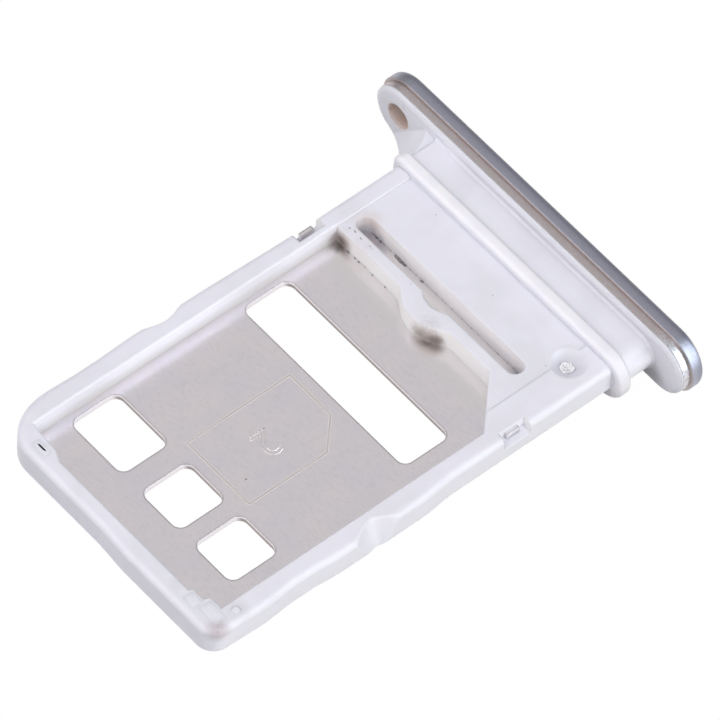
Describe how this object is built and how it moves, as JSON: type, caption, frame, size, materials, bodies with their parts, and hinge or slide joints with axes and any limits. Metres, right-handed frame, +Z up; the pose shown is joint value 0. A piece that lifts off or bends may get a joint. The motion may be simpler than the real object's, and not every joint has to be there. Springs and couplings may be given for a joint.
{
  "type": "sim card tray",
  "caption": "Flat phone card tray: moulded frame with a cut-corner pocket over a windowed steel plate, spring finger, sealed neck and a pill-shaped metal face with an ejector hole.",
  "frame": {"origin": "middle of the tray's outline seen from above, on the level of the cap's lowest edge", "axes": "+X along the tray, out of the phone through the cap; +Y across the tray, towards the ejector hole; +Z up from the plate, out of the card pocket"},
  "size_m": [0.0188, 0.0148, 0.0024],
  "materials": {
    "white_plastic": "satin moulded white with a cool cast",
    "steel_sheet": "rolled stainless sheet, bright sheared edges",
    "silicone": "pale silicone, slightly warm",
    "anodised_metal": "bead-blasted and anodised silver grey"
  },
  "bodies": {
    "root": {"tray_frame": "white_plastic", "card_plate": "steel_sheet", "seal_ring": "silicone", "face_cap": "anodised_metal"}
  },
  "joints": []
}
